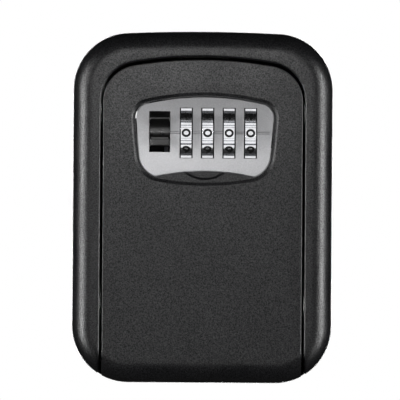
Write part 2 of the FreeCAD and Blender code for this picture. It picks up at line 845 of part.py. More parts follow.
def screw_holes(front_y, rear_y):
    return [rod_y(x, z, front_y, rear_y, screw_hole_radius) for x, z in ears]


def make_housing():
    """Open cast frame that carries the wheel shaft, guides the latch and stands off the inner cover."""
    inner_left = housing_left_x + housing_wall
    inner_right = housing_right_x - housing_wall
    inner_high = housing_top_z - housing_wall
    frame = box(
        housing_left_x, housing_right_x, flange_rear_y, housing_rear_y, housing_bottom_z, housing_top_z
    )
    inside = box(inner_left, inner_right, flange_rear_y, housing_rear_y, housing_floor_z, inner_high)
    pieces = [frame.cut(inside)] + ear_pieces(boss_rear_y, housing_rear_y)
    bearing_top = wheel_z + shaft_radius + bearing_cap
    bearing_front = pad_rear_y + guide_clearance
    pieces.append(
        box(bearing_left_x, bearing_right_x, bearing_front, housing_rear_y, housing_floor_z, bearing_top)
    )
    rail_y = latch_rear_y + guide_clearance
    rail_low = latch_bar_z + latch_bar_height / 2 - rail_drop
    rail_high = latch_bar_z + latch_bar_height / 2 + rail_rise
    for x0, x1 in ((inner_left, inner_left + rail_reach), (inner_right - right_rail_reach, inner_right)):
        pieces.append(box(x0, x1, rail_y, rail_y + rail_depth, rail_low, rail_high))
    peg_y = latch_y + latch_thickness / 2
    peg_x = (latch_leg_left_x + latch_leg_right_x) / 2 + bolt_spring_shift
    pieces.append(rod_z(peg_x, peg_y, housing_floor_z, housing_floor_z + bolt_peg_height, bolt_peg_radius))
    housing = joined(pieces)
    half_nose = latch_nose_width / 2 + guide_clearance
    nose_rear = latch_rear_y + guide_clearance
    cuts = [
        box(-half_nose, half_nose, flange_rear_y, nose_rear, inner_high - 1, housing_top_z + 1),
        rod_x(bearing_left_x - 1, housing_right_x + 1, wheel_y, wheel_z, shaft_radius),
    ]
    return housing.cut(cuts + screw_holes(boss_rear_y - 1, housing_rear_y + 1)).removeSplitter()


def make_cover():
    plate = box(
        housing_left_x, housing_right_x, housing_rear_y, cover_rear_y, housing_bottom_z, housing_top_z
    )
    cover = joined([plate] + ear_pieces(housing_rear_y, cover_rear_y))
    cover = cover.makeFillet(cover_edge_rounding, edges_on_plane(cover, cover_rear_y))
    half_w = reset_knob_width / 2 + reset_slot_clearance
    half_h = reset_knob_height / 2 + reset_slot_clearance
    lever_way = box(
        reset_knob_x - half_w,
        reset_knob_x + half_w + reset_travel,
        housing_rear_y - 1,
        cover_rear_y + 1,
        wheel_z - half_h,
        wheel_z + half_h,
    )
    return cover.cut([lever_way] + screw_holes(housing_rear_y - 1, cover_rear_y + 1))


def make_screws():
    screws = []
    for x, z in ears:
        shank = rod_y(x, z, boss_rear_y - screw_bite, cover_rear_y + 0.5, screw_radius)
        head = rod_y(x, z, cover_rear_y, cover_rear_y + screw_head_height, screw_head_radius)
        head = head.makeFillet(screw_head_rounding, edges_on_plane(head, cover_rear_y + screw_head_height))
        screws.append(crossed(joined([shank, head]), x, z, cover_rear_y + screw_head_height))
    return Part.makeCompound(screws)


def make_reset_lever():
    """Sliding plate behind the wheels, with a fork against the first sleeve and a knob through the cover."""
    rear_y = reset_plate_rear_y
    arm_right = reset_arm_right_x
    arm_left = reset_arm_left_x
    plate_right = wheel_row_x + reset_plate_right_reach
    half_h = reset_plate_height / 2
    plate = box(arm_left, plate_right, reset_plate_y, rear_y, wheel_z - half_h, wheel_z + half_h)
    arm_front = flange_rear_y + reset_arm_front_gap
    arm = box(arm_left, arm_right, arm_front, rear_y, wheel_z - half_h, wheel_z + half_h)
    slot_half = shaft_radius + reset_fork_gap
    arm = arm.cut(
        [
            box(arm_left, arm_right, arm_front, wheel_y, wheel_z - slot_half, wheel_z + slot_half),
            rod_x(arm_left, arm_right, wheel_y, wheel_z, slot_half),
        ]
    )
    knob = box(
        reset_knob_x - reset_knob_width / 2,
        reset_knob_x + reset_knob_width / 2,
        rear_y,
        reset_knob_y,
        wheel_z - reset_knob_height / 2,
        wheel_z + reset_knob_height / 2,
    )
    knob = knob.makeFillet(reset_knob_rounding, edges_on_plane(knob, reset_knob_y))
    lever = joined([plate, arm, knob])
    grooves = []
    for k in range(reset_rib_count):
        x = reset_knob_x + (k - (reset_rib_count - 1) / 2) * reset_rib_pitch
        low = wheel_z - reset_rib_half_height
        high = wheel_z + reset_rib_half_height
        groove_y = reset_knob_y - reset_rib_depth
        grooves.append(
            box(x - reset_rib_half_width, x + reset_rib_half_width, groove_y, reset_knob_y + 1, low, high)
        )
    return lever.cut(grooves)


def make_bolt_spring():
    length = latch_leg_bottom_z - housing_floor_z
    spring = coil(length, bolt_spring_radius, bolt_spring_wire, bolt_spring_turns)
    spring_x = (latch_leg_left_x + latch_leg_right_x) / 2 + bolt_spring_shift
    spring.translate(at(spring_x, latch_y + latch_thickness / 2, housing_floor_z))
    return spring


def make_sleeve_spring():
    spring = coil(sleeve_spring_length, sleeve_spring_radius, sleeve_spring_wire, sleeve_spring_turns)
    spring.rotate(at(0, 0, 0), at(0, 1, 0), 90)
    spring.translate(at(last_spacer_x, wheel_y, wheel_z))
    return spring


def make_detent_spring():
    """Leaf strip on the housing's floor, with one arched finger under each wheel."""
    crown = wheel_z - wheel_radius - leaf_gap - leaf_thickness
    rail_front = max(wheel_y - leaf_half_length, flange_rear_y)
    rail_rear = wheel_y + leaf_half_length
    x0 = wheel_x[0] - leaf_width / 2
    x1 = wheel_x[-1] + leaf_width / 2
    foot_y = rail_rear - leaf_foot
    strip = box(x0, x1, foot_y, rail_rear, housing_floor_z, housing_floor_z + leaf_thickness)
    pieces = [strip]
    for x in wheel_x:
        under = [
            (rail_rear, housing_floor_z),
            (foot_y, housing_floor_z),
            (wheel_y + leaf_crown_half_length, crown),
            (rail_front, crown - leaf_tip_drop),
        ]
        over = [(y, z + leaf_thickness) for y, z in reversed(under)]
        pieces.append(slab_x(under + over, x - leaf_width / 2, x + leaf_width / 2))
    return joined(pieces)


blank = body_blank()
nodes = {
    "shell": make_shell(blank),
    "door": make_door(blank),
    "hinge_pins": make_hinge_pins(),
    "dial_panel": make_panel(),
    "lock_housing": make_housing(),
    "inner_cover": make_cover(),
    "cover_screws": make_screws(),
    "latch_bolt": make_latch(),
    "open_button": make_button(),
    "bolt_spring": make_bolt_spring(),
    "wheel_shaft": make_shaft(),
    "sleeve_spring": make_sleeve_spring(),
    "reset_lever": make_reset_lever(),
    "detent_spring": make_detent_spring(),
}
for number, x in enumerate(wheel_x, start=1):
    nodes[f"number_wheel_{number}"] = make_wheel(x)
    nodes[f"code_sleeve_{number}"] = make_sleeve(x)

for name, shape in nodes.items():
    shape.exportStep(f"parts/{name}.step")
    print(name, len(shape.Solids), shape.isValid(), round(shape.Volume, 1))
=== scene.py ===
"""Looks of a wall key lock box: coated case and door, lacquered dial panel, chromed number wheels."""

import logging
import math
from dataclasses import dataclass
from enum import Enum

import bmesh
import bpy
import numpy as np
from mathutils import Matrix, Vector


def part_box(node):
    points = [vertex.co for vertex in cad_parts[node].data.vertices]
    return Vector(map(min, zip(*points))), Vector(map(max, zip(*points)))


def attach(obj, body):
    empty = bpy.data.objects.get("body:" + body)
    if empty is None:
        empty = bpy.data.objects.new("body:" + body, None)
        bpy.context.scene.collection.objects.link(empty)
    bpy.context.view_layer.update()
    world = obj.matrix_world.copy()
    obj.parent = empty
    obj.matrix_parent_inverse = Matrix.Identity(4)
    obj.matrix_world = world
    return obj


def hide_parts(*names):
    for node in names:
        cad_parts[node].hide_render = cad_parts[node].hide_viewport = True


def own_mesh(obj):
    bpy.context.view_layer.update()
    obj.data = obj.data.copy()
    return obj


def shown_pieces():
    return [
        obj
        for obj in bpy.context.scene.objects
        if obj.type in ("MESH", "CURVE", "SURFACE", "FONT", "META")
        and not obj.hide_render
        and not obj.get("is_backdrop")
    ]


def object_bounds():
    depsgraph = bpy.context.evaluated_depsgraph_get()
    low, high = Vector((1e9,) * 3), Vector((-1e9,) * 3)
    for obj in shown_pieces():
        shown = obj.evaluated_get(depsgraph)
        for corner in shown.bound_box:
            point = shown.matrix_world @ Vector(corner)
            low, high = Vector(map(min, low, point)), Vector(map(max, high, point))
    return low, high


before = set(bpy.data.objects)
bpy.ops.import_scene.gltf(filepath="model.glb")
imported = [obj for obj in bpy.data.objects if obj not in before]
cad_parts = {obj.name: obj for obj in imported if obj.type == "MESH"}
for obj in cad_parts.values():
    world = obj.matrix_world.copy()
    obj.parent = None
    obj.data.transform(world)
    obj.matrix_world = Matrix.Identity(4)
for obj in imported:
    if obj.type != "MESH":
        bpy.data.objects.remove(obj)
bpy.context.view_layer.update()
MM = 0.001
LOG = logging.getLogger("key_lock_box")

# Setting of a map range node that eases in and out at its two ends.
EASED = {"interpolation_type": "SMOOTHSTEP"}

# Corners of the CAD's loose triangles this close are one corner.
SAME_CORNER_MM = 0.0005

# Faces that turn less than this from each other are one flat face.
FLAT_DEGREES = 0.2

# Edges of a swept shape that turn more than this stay sharp in shading.
SWEPT_SHARP_DEGREES = 50.0


# ---------------------------------------------------------------- nodes and colours


def linear(hex_code: str) -> tuple[float, float, float, float]:
    """Turn an sRGB hex colour into linear light.

    Args:
        hex_code: six hex digits, red first.

    Returns:
        Linear red, green and blue, with an alpha of 1.
    """
    srgb = np.array([int(hex_code[i : i + 2], 16) / 255 for i in (0, 2, 4)])
    light = np.where(srgb <= 0.04045, srgb / 12.92, ((srgb + 0.055) / 1.055) ** 2.4)
    return (*(float(v) for v in light), 1.0)


def add(
    tree: bpy.types.NodeTree, kind: str, inputs: dict | None = None, **settings: object
) -> bpy.types.Node:
    """Add one node, set its properties, and set or link its inputs.

    Args:
        tree: node tree that the node goes into.
        kind: Blender's name of the node type, without the ShaderNode prefix.
        inputs: input name or number, to a value or to the socket that feeds it.
        settings: properties of the node itself.

    Returns:
        The new node.
    """
    node = tree.nodes.new("ShaderNode" + kind)
    for name, value in settings.items():
        setattr(node, name, value)
    for key, value in (inputs or {}).items():
        if isinstance(value, bpy.types.NodeSocket):
            tree.links.new(value, node.inputs[key])
        else:
            node.inputs[key].default_value = value
    return node


# ---------------------------------------------------------------- finishes


@dataclass(frozen=True)
class Pattern:
    """Numbers of a noise pattern.

    Attributes:
        size_mm: width of its coarsest features.
        layers: number of finer layers.
        weight: weight of the finer layers.
    """

    size_mm: float
    layers: float = 2.0
    weight: float = 0.5

    def inputs(self, coords: bpy.types.NodeSocket) -> dict:
        """Give the noise node's inputs on coordinates in metres."""
        scale = 1 / (self.size_mm * MM)
        return {"Vector": coords, "Scale": scale, "Detail": self.layers, "Roughness": self.weight}


@dataclass(frozen=True)
class Span:
    """A stretch of a factor, and the values that its two ends become.

    Attributes:
        low: factor at the stretch's low end.
        high: factor at its high end.
        at_low: value that the low end becomes.
        at_high: value that the high end becomes.
    """

    low: float = 0.0
    high: float = 1.0
    at_low: float = 0.0
    at_high: float = 1.0

    def inputs(self, factor: bpy.types.NodeSocket) -> dict:
        """Give the map range node's inputs on a factor."""
        return {
            "Value": factor,
            "From Min": self.low,
            "From Max": self.high,
            "To Min": self.at_low,
            "To Max": self.at_high,
        }


@dataclass(frozen=True)
class Relief:
    """Numbers of a bump pattern.

    Attributes:
        depth_mm: height of the surface where the pattern's factor is 1.
        strength: share of that height that shows, from 0 to 1.
    """

    depth_mm: float
    strength: float

    def inputs(self, height: bpy.types.NodeSocket) -> dict:
        """Give the bump node's inputs on a height factor."""
        return {"Height": height, "Distance": self.depth_mm * MM, "Strength": self.strength}


@dataclass(frozen=True)
class Finish:
    """A surface finish: what it is made of and how it was made.

    Each kind of finish gives the shader's inputs in its own sockets method.

    Attributes:
        name: the real material, and how it was made.
    """

    name: str

    def material(self) -> bpy.types.Material:
        """Give the Blender material, made on first use."""
        found = bpy.data.materials.get(self.name)
        if found is None:
            found = bpy.data.materials.new(self.name)
            found.use_nodes = True
            tree = found.node_tree
            tree.nodes.clear()
            coords = add(tree, "TexCoord").outputs["Object"]
            shader = add(tree, "BsdfPrincipled", self.sockets(tree, coords))
            add(tree, "OutputMaterial", {"Surface": shader.outputs["BSDF"]})
        return found

    def sockets(self, tree: bpy.types.NodeTree, coords: bpy.types.NodeSocket) -> dict:
        """Add the pattern nodes, and give the shader's inputs.

        Args:
            tree: the material's node tree.
            coords: socket with the piece's own coordinates, in metres.

        Returns:
            Input name, to a value or to the socket that feeds it.
        """
        raise NotImplementedError


@dataclass(frozen=True)
class PowderCoat(Finish):
    """Polyester powder sprayed on die-cast zinc and baked: matt, with a fine pebbled grain.

    The real grain is about 0.15 mm. It is drawn coarser, so that it shows.

    Attributes:
        body_hex: colour between the grains.
        fleck_hex: colour on top of the grains.
        grain: pebbles of the coat.
        patches: slow changes in its thickness.
        fleck_span: heights of the grain over which the tone changes.
        rough_span: roughness by thickness.
        gloss_span: specular level by height of the grain.
        relief: height of the grain.
        ior: index of refraction of the resin.
    """

    body_hex: str = "0d0d0e"
    fleck_hex: str = "1a1a1c"
    grain: Pattern = Pattern(0.42, 4.0, 0.65)
    patches: Pattern = Pattern(14.0)
    fleck_span: Span = Span(0.42, 0.68)
    rough_span: Span = Span(0.3, 0.7, 0.29, 0.39)
    gloss_span: Span = Span(0.3, 0.7, 0.15, 0.85)
    relief: Relief = Relief(0.09, 0.8)
    ior: float = 1.5

    def sockets(self, tree: bpy.types.NodeTree, coords: bpy.types.NodeSocket) -> dict:
        """Fine grain in bump, tone and gloss, with slow patches where the coat is thinner."""
        grain = add(tree, "TexNoise", self.grain.inputs(coords)).outputs[0]
        patches = add(tree, "TexNoise", self.patches.inputs(coords)).outputs[0]
        fleck = add(tree, "MapRange", self.fleck_span.inputs(grain), **EASED).outputs[0]
        tones = {0: fleck, 6: linear(self.body_hex), 7: linear(self.fleck_hex)}
        return {
            "Base Color": add(tree, "Mix", tones, data_type="RGBA").outputs[2],
            "Roughness": add(tree, "MapRange", self.rough_span.inputs(patches)).outputs[0],
            "Specular IOR Level": add(tree, "MapRange", self.gloss_span.inputs(grain)).outputs[0],
            "Normal": add(tree, "Bump", self.relief.inputs(grain)).outputs[0],
            "IOR": self.ior,
        }


@dataclass(frozen=True)
class SatinLacquer(Finish):
    """Silver flake lacquer sprayed on the zinc dial panel: satin, with a very fine sparkle.

    Attributes:
        base_hex: colour between the flakes.
        flake_hex: colour of the flakes.
        flakes: pattern of the flakes.
        patches: slow changes in the gloss.
        flake_span: factors over which the tone changes.
        rough_span: roughness over the patches.
        relief: height of the flakes.
        metallic: share of the light that the flakes return as metal.
        clear_weight: weight of the clear layer.
        clear_roughness: roughness of the clear layer.
    """

    base_hex: str = "a9a9ab"
    flake_hex: str = "bcbcbe"
    flakes: Pattern = Pattern(0.22, 2.0, 0.7)
    patches: Pattern = Pattern(6.0, 3.0)
    flake_span: Span = Span(0.35, 0.7)
    rough_span: Span = Span(0.3, 0.7, 0.42, 0.5)
    relief: Relief = Relief(0.008, 0.3)
    metallic: float = 0.85
    clear_weight: float = 0.15
    clear_roughness: float = 0.2

    def sockets(self, tree: bpy.types.NodeTree, coords: bpy.types.NodeSocket) -> dict:
        """Metal flakes of slightly different tone under a thin clear layer of uneven gloss."""
        flakes = add(tree, "TexNoise", self.flakes.inputs(coords)).outputs[0]
        patches = add(tree, "TexNoise", self.patches.inputs(coords)).outputs[0]
        share = add(tree, "MapRange", self.flake_span.inputs(flakes), **EASED).outputs[0]
        tones = {0: share, 6: linear(self.base_hex), 7: linear(self.flake_hex)}
        return {
            "Base Color": add(tree, "Mix", tones, data_type="RGBA").outputs[2],
            "Metallic": self.metallic,
            "Roughness": add(tree, "MapRange", self.rough_span.inputs(patches)).outputs[0],
            "Coat Weight": self.clear_weight,
            "Coat Roughness": self.clear_roughness,
            "Normal": add(tree, "Bump", self.relief.inputs(flakes)).outputs[0],
        }


@dataclass(frozen=True)
class Metal(Finish):
    """A bare or plated metal with fine marks and slow tarnish.

    Attributes:
        base_hex: colour of the clean metal.
        dull_hex: colour where it is tarnished.
        rough_span: roughness over the marks.
        marks: pattern of the marks.
        relief: height of the marks.
        draw: scale of the marks by axis, small where they are drawn out.
        tarnish: pattern of the tarnish.
        tarnish_span: factors over which the tone changes.
    """

    base_hex: str
    dull_hex: str
    rough_span: Span
    marks: Pattern
    relief: Relief
    draw: tuple[float, float, float] = (1.0, 1.0, 1.0)
    tarnish: Pattern = Pattern(5.0, 3.0, 0.55)
    tarnish_span: Span = Span(0.35, 0.7)

    def sockets(self, tree: bpy.types.NodeTree, coords: bpy.types.NodeSocket) -> dict:
        """Marks and slow tarnish change tone and gloss, and the marks raise the surface a little."""
        drawn = add(tree, "Mapping", {"Vector": coords, "Scale": self.draw}).outputs[0]
        marks = add(tree, "TexNoise", self.marks.inputs(drawn)).outputs[0]
        tarnish = add(tree, "TexNoise", self.tarnish.inputs(coords)).outputs[0]
        share = add(tree, "MapRange", self.tarnish_span.inputs(tarnish), **EASED).outputs[0]
        tones = {0: share, 6: linear(self.base_hex), 7: linear(self.dull_hex)}
        return {
            "Base Color": add(tree, "Mix", tones, data_type="RGBA").outputs[2],
            "Metallic": 1.0,
            "Roughness": add(tree, "MapRange", self.rough_span.inputs(marks)).outputs[0],
            "Normal": add(tree, "Bump", self.relief.inputs(marks)).outputs[0],
        }


@dataclass(frozen=True)
class Moulded(Finish):
    """A dark surface that is moulded, stoved or oxidised: slightly glossy, with handling marks.

    Attributes:
        base_hex: colour where it is untouched.
        rubbed_hex: colour where it is rubbed.
        rough_span: roughness from untouched to rubbed.
        grain: fine texture.
        relief: height of the texture.
        rubs: pattern of the rubbed patches.
        rub_span: factors over which a patch comes in.
        ior: index of refraction.
    """

    base_hex: str
    rubbed_hex: str
    rough_span: Span
    grain: Pattern
    relief: Relief
    rubs: Pattern = Pattern(2.5, 3.0, 0.6)
    rub_span: Span = Span(0.45, 0.75)
    ior: float = 1.49

    def sockets(self, tree: bpy.types.NodeTree, coords: bpy.types.NodeSocket) -> dict:
        """Fine texture, and rubbed patches that are a little lighter and glossier."""
        grain = add(tree, "TexNoise", self.grain.inputs(coords)).outputs[0]
        rubs = add(tree, "TexNoise", self.rubs.inputs(coords)).outputs[0]
        rubbed = add(tree, "MapRange", self.rub_span.inputs(rubs), **EASED).outputs[0]
        tones = {0: rubbed, 6: linear(self.base_hex), 7: linear(self.rubbed_hex)}
        return {
            "Base Color": add(tree, "Mix", tones, data_type="RGBA").outputs[2],
            "Roughness": add(tree, "MapRange", self.rough_span.inputs(rubbed)).outputs[0],
            "Normal": add(tree, "Bump", self.relief.inputs(grain)).outputs[0],
            "IOR": self.ior,
        }


# Matt black whose pebbled grain breaks up every highlight.
POWDER_COAT = PowderCoat("black powder coat, sprayed and baked")

# Soft grey metal sheen without mirror reflections.
SATIN_SILVER = SatinLacquer("silver flake lacquer, sprayed")

# Bright mirror with slightly blurred reflections.
CHROME = Metal(
    "bright chrome, electroplated",
    "e4e5e8",
    "d4d5d8",
    Span(0.3, 0.7, 0.12, 0.2),
    Pattern(0.5, 3.0, 0.6),
    Relief(0.002, 0.35),
)

# Dull grey casting, softly uneven from tumbling.
BARE_ZINC = Metal(
    "zinc alloy, die-cast and tumbled",
    "9fa1a6",
    "85878c",
    Span(0.3, 0.7, 0.34, 0.5),
    Pattern(0.35, 3.0, 0.6),
    Relief(0.012, 0.35),
)

# Pale, fairly bright plating.
ZINC_PLATE = Metal(
    "steel, bright zinc-plated",
    "c9cbd0",
    "b0b2b6",
    Span(0.3, 0.7, 0.18, 0.3),
    Pattern(0.3, 3.0, 0.6),
    Relief(0.004, 0.35),
)

# Grey wire and strip with drawing marks along it.
SPRING_STEEL = Metal(
    "spring steel, drawn",
    "8f9094",
    "77787c",
    Span(0.3, 0.7, 0.25, 0.35),
    Pattern(0.2, 3.0, 0.6),
    Relief(0.004, 0.35),
    (1.0, 1.0, 0.2),
)

# Near black, with a faint oily sheen.
BLACK_OXIDE = Moulded(
    "steel, black oxide finish",
    "0c0c0d",
    "161617",
    Span(0.0, 1.0, 0.48, 0.36),
    Pattern(0.3),
    Relief(0.004, 0.4),
)

# Glossier black with crisp lines of light on its ridges.
BLACK_PLASTIC = Moulded(
    "black ABS, moulded",
    "050505",
    "0b0b0c",
    Span(0.0, 1.0, 0.33, 0.21),
    Pattern(0.2),
    Relief(0.004, 0.4),
)

# Dark satin sheet with a fine orange peel.
DARK_ENAMEL = Moulded(
    "black enamel, stoved on pressed steel",
    "19191a",
    "232324",
    Span(0.0, 1.0, 0.46, 0.34),
    Pattern(0.5),
    Relief(0.01, 0.4),
)

# Deep black that stays black on the bright wheels.
DIGIT_PAINT = Moulded(
    "black enamel, filled in the digits",
    "050505",
    "0b0b0b",
    Span(0.0, 1.0, 0.51, 0.39),
    Pattern(0.2),
    Relief(0.003, 0.4),
)


# ---------------------------------------------------------------- meshes


def new_piece(name: str, mesh: bpy.types.Mesh, body: str, finish: Finish) -> bpy.types.Object:
    """Make an object of a mesh that is in place, and hang it on its body.

    Args:
        name: name of the piece.
        mesh: mesh in the frame, in metres.
        body: moving body that carries the piece.
        finish: finish of the whole piece.

    Returns:
        The new object.
    """
    piece = bpy.data.objects.new(name, mesh)
    bpy.context.scene.collection.objects.link(piece)
    mesh.materials.clear()
    mesh.materials.append(finish.material())
    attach(piece, body)
    return piece


def grid_mesh(name: str, points: np.ndarray, wrap_u: bool, wrap_v: bool) -> bpy.types.Mesh:
    """Join a grid of points into quads.

    Args:
        name: name of the mesh.
        points: points by u, v and axis, in metres.
        wrap_u: whether the last row joins the first.
        wrap_v: whether the last column joins the first.

    Returns:
        The mesh.
    """
    rows, columns = points.shape[:2]
    u = np.arange(rows if wrap_u else rows - 1)
    v = np.arange(columns if wrap_v else columns - 1)
    first, second = np.meshgrid(u, v, indexing="ij")
    next_u = (first + 1) % rows
    next_v = (second + 1) % columns
    corners = [(first, second), (next_u, second), (next_u, next_v), (first, next_v)]
    quads = np.stack([row * columns + column for row, column in corners], axis=-1).reshape(-1, 4)
    mesh = bpy.data.meshes.new(name)
    mesh.from_pydata(points.reshape(-1, 3).tolist(), [], quads.tolist())
    mesh.update()
    return mesh


def close_ends(mesh: bpy.types.Mesh) -> None:
    """Cap a swept mesh's open ends, turn its faces outward, and shade it smooth but for sharp edges."""
    work = bmesh.new()
    work.from_mesh(mesh)
    bmesh.ops.holes_fill(work, edges=[edge for edge in work.edges if edge.is_boundary])
    bmesh.ops.recalc_face_normals(work, faces=work.faces)
    work.to_mesh(mesh)
    work.free()
    mesh.shade_smooth()
    mesh.set_sharp_from_angle(angle=math.radians(SWEPT_SHARP_DEGREES))


@dataclass
class CastPiece:
    """A CAD node shown as a merged copy with its sharp edges rounded, as a casting or moulding has them.

    Attributes:
        node: CAD node that the piece stands for.
        body: moving body that carries it.
        slot: the record's material slot; not used.
        finish: finish of the whole piece.
        edge_mm: radius of the rounding on sharp edges, or 0 for none.
        sharp_degrees: edges that turn more than this are rounded, and split in shading.
        segments: faces across each rounding.
    """

    node: str
    body: str
    slot: str
    finish: Finish
    edge_mm: float = 0.12
    sharp_degrees: float = 38.0
    segments: int = 2

    def merged_copy(self) -> bpy.types.Mesh:
        """Copy the node's mesh, join its loose triangles, and merge flat areas into single faces."""
        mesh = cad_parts[self.node].data.copy()
        mesh.name = self.node + "_look"
        work = bmesh.new()
        work.from_mesh(mesh)
        bmesh.ops.remove_doubles(work, verts=work.verts, dist=SAME_CORNER_MM * MM)
        flat = math.radians(FLAT_DEGREES)
        bmesh.ops.dissolve_limit(
            work, angle_limit=flat, verts=work.verts, edges=work.edges, delimit={"NORMAL"}
        )
        work.to_mesh(mesh)
        work.free()
        return mesh

    def build(self) -> bpy.types.Object:
        """Make the piece, and hide its CAD node."""
        mesh = self.merged_copy()
        for name in ("custom_normal", "sharp_face", "sharp_edge"):
            if name in mesh.attributes:
                mesh.attributes.remove(mesh.attributes[name])
        mesh.shade_smooth()
        mesh.set_sharp_from_angle(angle=math.radians(self.sharp_degrees))
        piece = new_piece(self.node + "_look", mesh, self.body, self.finish)
        if self.edge_mm:
            rounding = piece.modifiers.new("edge rounding", "BEVEL")
            rounding.width = self.edge_mm * MM
            rounding.segments = self.segments
            rounding.limit_method = "ANGLE"
            rounding.angle_limit = math.radians(self.sharp_degrees)
            rounding.harden_normals = True
            rounding.use_clamp_overlap = True
            rounding.miter_outer = "MITER_ARC"
        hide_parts(self.node)
        return piece


@dataclass
class WireSpring:
    """A compression spring of round wire, in the box of its CAD node.

    Attributes:
        node: CAD node that the spring stands for.
        along: axis that it is coiled about, 0 for X or 2 for Z.
        turns: turns of the coil.
        joint: slide that presses it; not used.
        anchored_high: whether its high end is the one that stands still; not used.
        keep: its shortest length, as a share of its length at rest; not used.
        wire_mm: diameter of the wire.
        steps_per_turn: steps of the mesh along one turn.
        sides: sides of the mesh round the wire.
    """

    node: str
    along: int
    turns: float
    joint: str
    anchored_high: bool
    keep: float
    wire_mm: float = 0.48
    steps_per_turn: int = 40
    sides: int = 12

    def points(self, low: np.ndarray, high: np.ndarray) -> np.ndarray:
        """Sweep a round section along the coil.

        The centre line turns evenly about the axis. It climbs as turn share minus a sine of
        itself, so that its two ends lie flat. The section is a circle spanned by the outward
        direction and the axis.

        Args:
            low: low corner of the node's box.
            high: high corner.

        Returns:
            Points by place along the wire, place round it, and axis.
        """
        order = [(self.along + 1) % 3, (self.along + 2) % 3, self.along]
        wire = self.wire_mm * MM / 2
        middle = (low + high) / 2
        radius = min((high - low)[order[0]], (high - low)[order[1]]) / 2 - wire
        share = np.linspace(0.0, 1.0, int(self.turns * self.steps_per_turn))
        angle = 2 * np.pi * self.turns * share
        climb = share - np.sin(2 * np.pi * share) / (2 * np.pi)
        round_wire = np.linspace(0.0, 2 * np.pi, self.sides, endpoint=False)
        outward = radius + wire * np.cos(round_wire)[None, :]
        rise = low[self.along] + wire + (high - low - 2 * wire)[self.along] * climb
        points = np.empty((share.size, self.sides, 3))
        points[..., order[0]] = middle[order[0]] + np.cos(angle)[:, None] * outward
        points[..., order[1]] = middle[order[1]] + np.sin(angle)[:, None] * outward
        points[..., order[2]] = rise[:, None] - wire * np.sin(round_wire)[None, :]
        return points

    def build(self) -> bpy.types.Object:
        """Make the spring, and close the wire's two ends."""
        low, high = (np.array(corner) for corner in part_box(self.node))
        mesh = grid_mesh(self.node + "_look", self.points(low, high), False, True)
        close_ends(mesh)
        spring = new_piece(self.node + "_look", mesh, "door", SPRING_STEEL)
        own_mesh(spring)
        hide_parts(self.node)
        return spring


# ---------------------------------------------------------------- number wheels


class Stroke(Enum):
    """Kinds of stroke that a digit is drawn with, on a box 1 wide and 1 high."""

    ARC = "arc"
    LINE = "line"


# Profile of the paint across a stroke, as shares of the pen's width and of the paint's height.
PEN_ACROSS = np.array([-0.5, -0.42, 0.0, 0.42, 0.5])
PEN_HEIGHT = np.array([-1.0, 0.75, 1.0, 0.75, -1.0])

DIGITS: dict[int, list[tuple]] = {
    # ARC: centre x, centre y, radius x, radius y, start and sweep in degrees. LINE: from x, y to x, y.
    0: [(Stroke.ARC, 0, 0, 0.5, 0.5, 0, 360)],
    1: [(Stroke.LINE, 0, -0.5, 0, 0.5), (Stroke.LINE, 0, 0.5, -0.26, 0.24)],
    2: [
        (Stroke.ARC, 0, 0.2, 0.42, 0.3, 160, -200),
        (Stroke.LINE, 0.39, 0.09, -0.42, -0.5),
        (Stroke.LINE, -0.42, -0.5, 0.45, -0.5),
    ],
    3: [(Stroke.ARC, 0, 0.25, 0.38, 0.25, 150, -240), (Stroke.ARC, 0, -0.25, 0.42, 0.25, 90, -240)],
    4: [
        (Stroke.LINE, 0.2, -0.5, 0.2, 0.5),
        (Stroke.LINE, 0.2, 0.5, -0.45, -0.18),
        (Stroke.LINE, -0.45, -0.18, 0.48, -0.18),
    ],
    5: [
        (Stroke.LINE, 0.38, 0.5, -0.34, 0.5),
        (Stroke.LINE, -0.34, 0.5, -0.38, 0.04),
        (Stroke.ARC, 0, -0.16, 0.44, 0.34, 142, -292),
    ],
    6: [(Stroke.ARC, 0, -0.18, 0.42, 0.32, 0, 360), (Stroke.ARC, 0.18, -0.1, 0.6, 0.6, 188, -88)],
    7: [(Stroke.LINE, -0.42, 0.5, 0.42, 0.5), (Stroke.LINE, 0.42, 0.5, -0.12, -0.5)],
    8: [(Stroke.ARC, 0, 0.26, 0.35, 0.24, 0, 360), (Stroke.ARC, 0, -0.24, 0.42, 0.26, 0, 360)],
    9: [(Stroke.ARC, 0, 0.18, 0.42, 0.32, 0, 360), (Stroke.ARC, -0.18, 0.1, 0.6, 0.6, 8, -88)],
}


